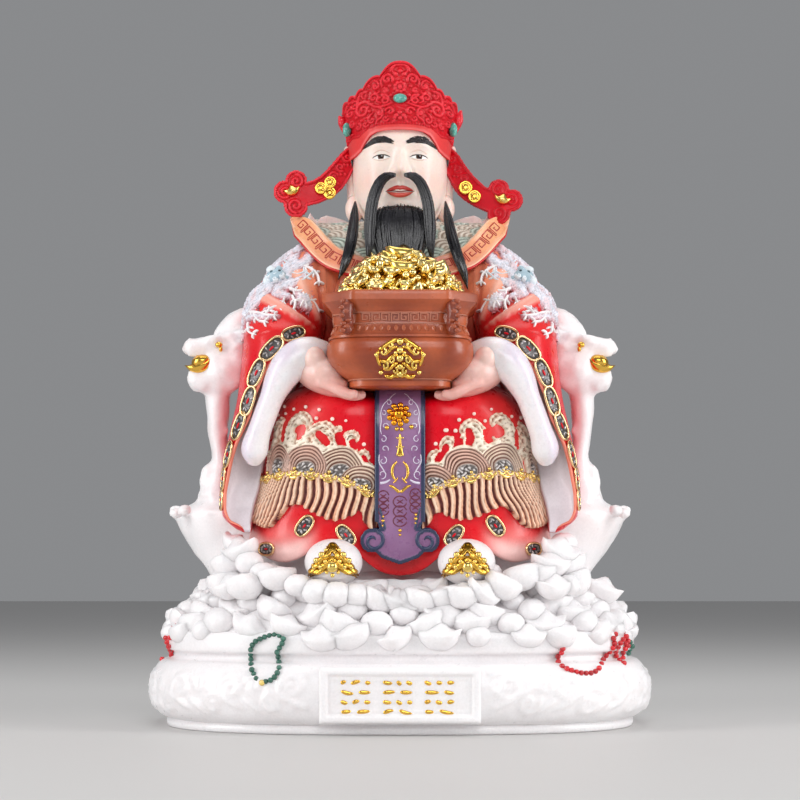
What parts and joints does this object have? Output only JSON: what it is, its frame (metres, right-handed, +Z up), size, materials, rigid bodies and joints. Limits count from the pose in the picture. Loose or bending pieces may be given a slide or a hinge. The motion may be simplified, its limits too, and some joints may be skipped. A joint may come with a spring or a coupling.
{
  "type": "seated caishen figure",
  "caption": "Painted resin figure of a seated god of wealth on a dragon throne and oval plinth, holding a square treasure bowl heaped with gold.",
  "frame": {"origin": "middle of the plinth's flat underside", "axes": "+Z up, the figure faces -Y, +X to the right as seen from the front"},
  "size_m": [0.262, 0.184, 0.341],
  "materials": {
    "painted_resin": "glossy painted polyresin, red robe and white base",
    "bowl_resin": "glossy reddish-brown painted polyresin",
    "gold_plate": "bright plated gold"
  },
  "bodies": {
    "root": {"statue": "painted_resin", "treasure_bowl": "bowl_resin", "gold_heap": "gold_plate"}
  },
  "joints": []
}
